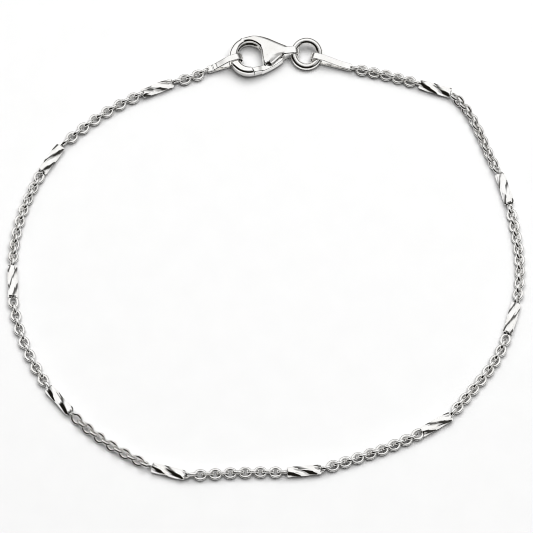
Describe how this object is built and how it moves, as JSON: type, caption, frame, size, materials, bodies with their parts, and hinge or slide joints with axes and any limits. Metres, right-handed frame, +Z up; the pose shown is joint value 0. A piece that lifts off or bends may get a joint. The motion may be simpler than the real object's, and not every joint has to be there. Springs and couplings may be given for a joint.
{
  "type": "bracelet",
  "caption": "Fine silver cable-chain bracelet with twisted faceted tube beads and a lobster clasp, closed and lying in a flat loop.",
  "frame": {"origin": "on the surface that the closed bracelet lies on, under the middle of its outline", "axes": "+Z up from the surface; +Y towards the clasp's side of the loop; +X along the clasp, from its hook to its jump ring"},
  "size_m": [0.0606, 0.0544, 0.0021],
  "materials": {
    "polished_silver": "polished",
    "cut_silver": "bright diamond-cut flats",
    "chain_silver": "polished round wire"
  },
  "bodies": {
    "bracelet": {"clasp_body": "polished_silver", "jump_ring": "polished_silver", "clasp_tag": "polished_silver", "ring_tag": "polished_silver", "bead_01": "cut_silver", "bead_02": "cut_silver", "bead_03": "cut_silver", "bead_04": "cut_silver", "bead_05": "cut_silver", "bead_06": "cut_silver", "bead_07": "cut_silver", "bead_08": "cut_silver", "bead_09": "cut_silver", "bead_10": "cut_silver", "chain_left": "chain_silver", "chain_right": "chain_silver"},
    "lever": {"clasp_lever": "polished_silver"}
  },
  "joints": [
    {"name": "clasp_lever_pivot", "type": "hinge", "parent": "bracelet", "child": "lever", "pos_m": [0.0004, 0.0238, 0.0009], "axis": [0, 0, -1], "range_deg": [0, 25], "stiffness_Nm_per_rad": 0.0015, "springref_deg": -17.19}
  ]
}
